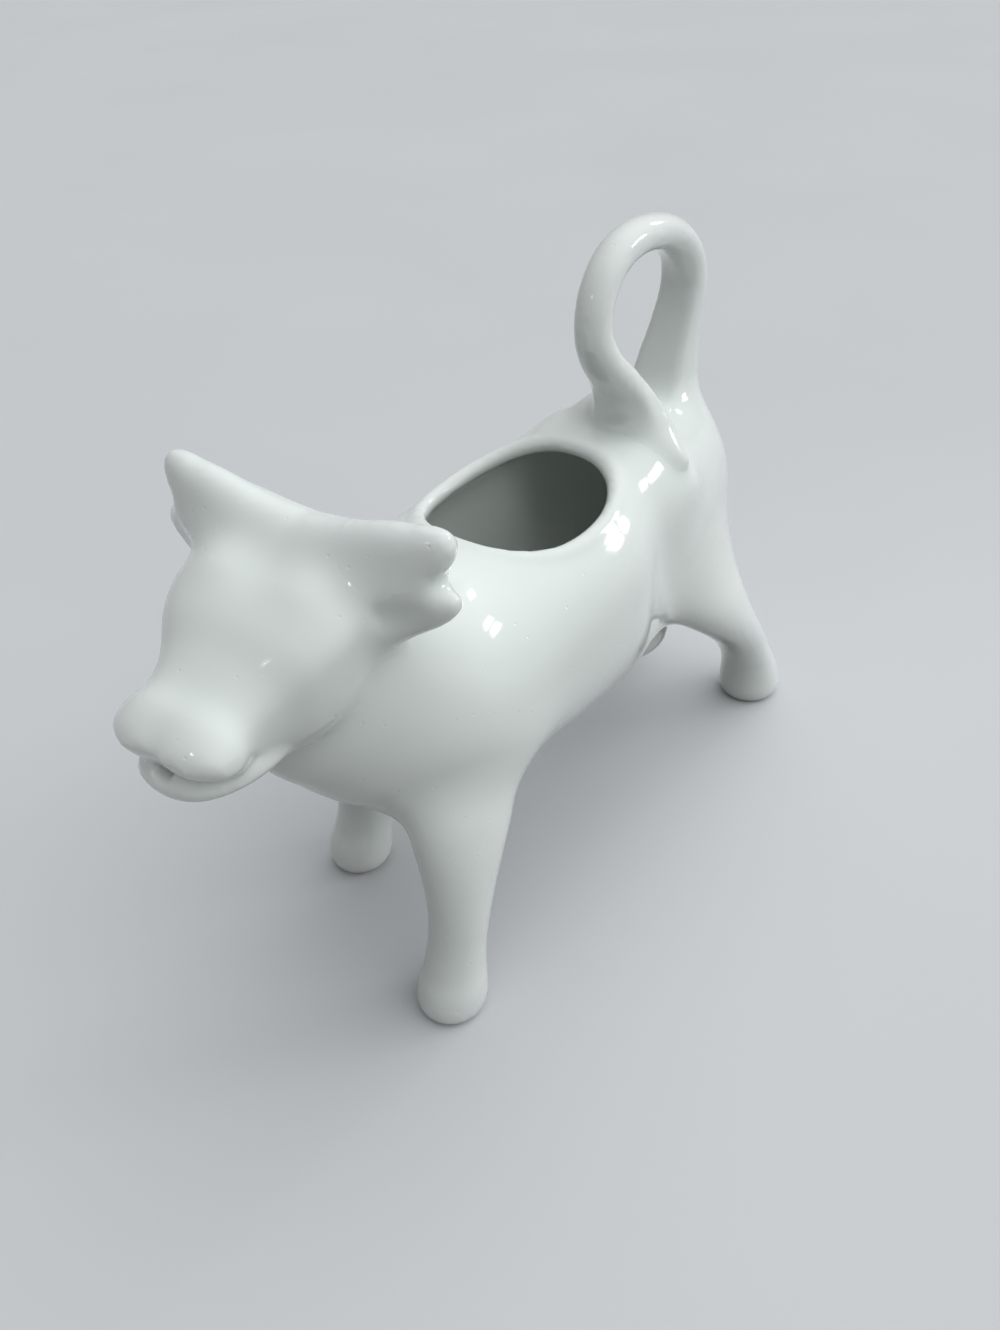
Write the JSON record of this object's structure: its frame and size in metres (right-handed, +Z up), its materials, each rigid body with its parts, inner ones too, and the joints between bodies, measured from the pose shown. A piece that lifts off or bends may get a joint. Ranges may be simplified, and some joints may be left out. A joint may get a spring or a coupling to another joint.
{
  "type": "cow creamer",
  "caption": "Cream jug in the shape of a standing cow, filled through an oval opening in its back, held by its looped tail and poured from the mouth.",
  "frame": {"origin": "middle of the jug's length and width, on the plane of the soles", "axes": "+X towards the muzzle, +Y to the cow's left, +Z up"},
  "size_m": [0.1584, 0.058, 0.1205],
  "materials": {
    "glaze": "clear gloss glaze over cool white porcelain"
  },
  "bodies": {
    "root": {"body_shell": "glaze", "head_shell": "glaze", "left_horn": "glaze", "right_horn": "glaze", "left_ear": "glaze", "right_ear": "glaze", "front_left_leg": "glaze", "front_right_leg": "glaze", "rear_left_leg": "glaze", "rear_right_leg": "glaze", "tail_handle": "glaze", "tail_tuft": "glaze", "udder": "glaze"}
  },
  "joints": []
}
